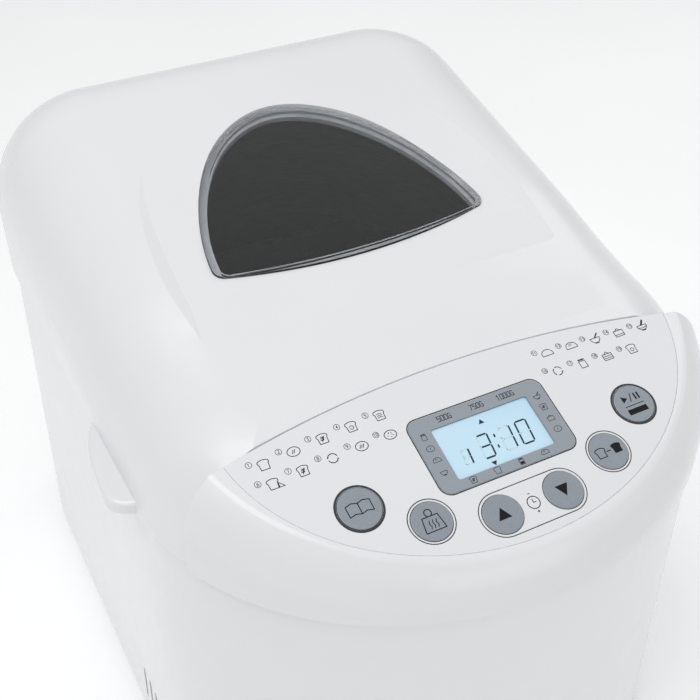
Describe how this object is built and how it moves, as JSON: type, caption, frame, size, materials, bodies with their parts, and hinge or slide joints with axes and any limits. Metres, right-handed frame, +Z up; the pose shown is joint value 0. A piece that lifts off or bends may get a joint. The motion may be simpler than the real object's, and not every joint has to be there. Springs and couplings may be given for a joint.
{
  "type": "bread machine",
  "caption": "Countertop bread machine with a hinged domed lid, arched viewing window, sloping key panel with a display, lift-out bread pan and belt-driven kneading paddle.",
  "frame": {"origin": "centre of the overall box in plan, on the surface the rubber feet stand on", "axes": "+Z up, the control panel faces -Y, +X to the right as seen from the front"},
  "size_m": [0.3066, 0.3862, 0.3016],
  "materials": {
    "shell_white": "glossy",
    "panel_print": "satin",
    "bezel_grey": "satin",
    "lcd": "satin",
    "key_grey": "satin",
    "clear": "polished",
    "silicone": "matte",
    "black_rubber": "matte",
    "dark_plastic": "matte",
    "board_green": "satin",
    "sheet_steel": "brushed",
    "zinc_steel": "satin",
    "black_coat": "satin",
    "element_steel": "matte",
    "ceramic": "matte",
    "cast_alloy": "satin",
    "brass": "satin",
    "copper_coil": "satin",
    "white_liner": "satin",
    "iron_core": "satin",
    "steel": "polished"
  },
  "bodies": {
    "housing": {"body_shell": "shell_white", "base_tray": "white_liner", "rubber_feet": "black_rubber", "housing_screws": "zinc_steel", "cord_gland": "black_rubber", "top_cover": "shell_white", "panel_overlay": "panel_print", "display_bezel": "bezel_grey", "lcd_glass": "lcd", "lcd_backlight": "white_liner", "control_board": "board_green", "board_parts": "dark_plastic", "power_board": "board_green", "power_parts": "dark_plastic", "ribbon_cable": "bezel_grey", "chamber_liner": "sheet_steel", "liner_legs": "zinc_steel", "element_tube": "element_steel", "element_terminals": "ceramic", "temperature_sensor": "steel", "thermal_fuse": "ceramic", "pan_seat": "sheet_steel", "bearing_housing": "cast_alloy", "drive_belt": "black_rubber", "motor_plate": "zinc_steel", "motor_dampers": "black_rubber", "motor_stator": "iron_core", "motor_coils": "copper_coil", "motor_brackets": "cast_alloy", "motor_capacitor": "bezel_grey", "hinge_brackets": "white_liner", "hinge_pins": "steel"},
    "lid": {"lid_shell": "shell_white", "window_pane": "clear", "window_gasket": "silicone", "lid_liner": "sheet_steel", "lid_gasket": "silicone", "lid_screws": "zinc_steel", "hinge_arms": "white_liner"},
    "pan": {"bread_pan": "black_coat", "pan_foot": "cast_alloy", "pan_bushing": "brass"},
    "bail": {"pan_handle": "steel"},
    "kneader": {"pan_shaft": "steel", "pan_coupling": "cast_alloy", "paddle": "black_coat"},
    "drive": {"drive_shaft": "steel", "drive_coupling": "cast_alloy", "large_pulley": "dark_plastic", "shaft_clips": "zinc_steel"},
    "rotor": {"motor_rotor": "iron_core", "motor_shaft": "steel", "motor_fan": "white_liner", "motor_pulley": "cast_alloy"},
    "key_menu_body": {"key_menu": "key_grey"},
    "key_weight_body": {"key_weight": "key_grey"},
    "key_up_body": {"key_up": "key_grey"},
    "key_down_body": {"key_down": "key_grey"},
    "key_crust_body": {"key_crust": "key_grey"},
    "key_start_body": {"key_start": "key_grey"}
  },
  "joints": [
    {"name": "lid_hinge", "type": "hinge", "parent": "housing", "child": "lid", "pos_m": [0, 0.1864, 0.2132], "axis": [-1, 0, 0], "range_deg": [0, 75]},
    {"name": "pan_lift", "type": "slide", "parent": "housing", "child": "pan", "axis": [0, 0, 1], "range_m": [0, 0.006]},
    {"name": "bail_swing", "type": "hinge", "parent": "pan", "child": "bail", "pos_m": [0, 0.0469, 0.2], "axis": [-1, 0, 0], "range_deg": [0, 6]},
    {"name": "drive_spin", "type": "hinge", "parent": "housing", "child": "drive", "pos_m": [0, 0.0469, 0.033], "axis": [0, 0, 1], "continuous": true},
    {"name": "kneader_spin", "type": "hinge", "parent": "pan", "child": "kneader", "pos_m": [0, 0.0469, 0.073], "axis": [0, 0, 1], "continuous": true},
    {"name": "motor_spin", "type": "hinge", "parent": "housing", "child": "rotor", "pos_m": [0, -0.1131, 0.073], "axis": [0, 0, 1], "continuous": true},
    {"name": "key_menu_press", "type": "slide", "parent": "housing", "child": "key_menu_body", "axis": [0, 0.309, -0.9511], "range_m": [0, 0.0008], "stiffness_N_per_m": 500, "springref_m": -0.0006},
    {"name": "key_weight_press", "type": "slide", "parent": "housing", "child": "key_weight_body", "axis": [0, 0.309, -0.9511], "range_m": [0, 0.0008], "stiffness_N_per_m": 500, "springref_m": -0.0006},
    {"name": "key_up_press", "type": "slide", "parent": "housing", "child": "key_up_body", "axis": [0, 0.309, -0.9511], "range_m": [0, 0.0008], "stiffness_N_per_m": 500, "springref_m": -0.0006},
    {"name": "key_down_press", "type": "slide", "parent": "housing", "child": "key_down_body", "axis": [0, 0.309, -0.9511], "range_m": [0, 0.0008], "stiffness_N_per_m": 500, "springref_m": -0.0006},
    {"name": "key_crust_press", "type": "slide", "parent": "housing", "child": "key_crust_body", "axis": [0, 0.309, -0.9511], "range_m": [0, 0.0008], "stiffness_N_per_m": 500, "springref_m": -0.0006},
    {"name": "key_start_press", "type": "slide", "parent": "housing", "child": "key_start_body", "axis": [0, 0.309, -0.9511], "range_m": [0, 0.0008], "stiffness_N_per_m": 500, "springref_m": -0.0006}
  ],
  "couplings": [
    {"joint": "kneader_spin", "follows": "drive_spin", "ratio": 1},
    {"joint": "motor_spin", "follows": "drive_spin", "ratio": 4.2432}
  ]
}
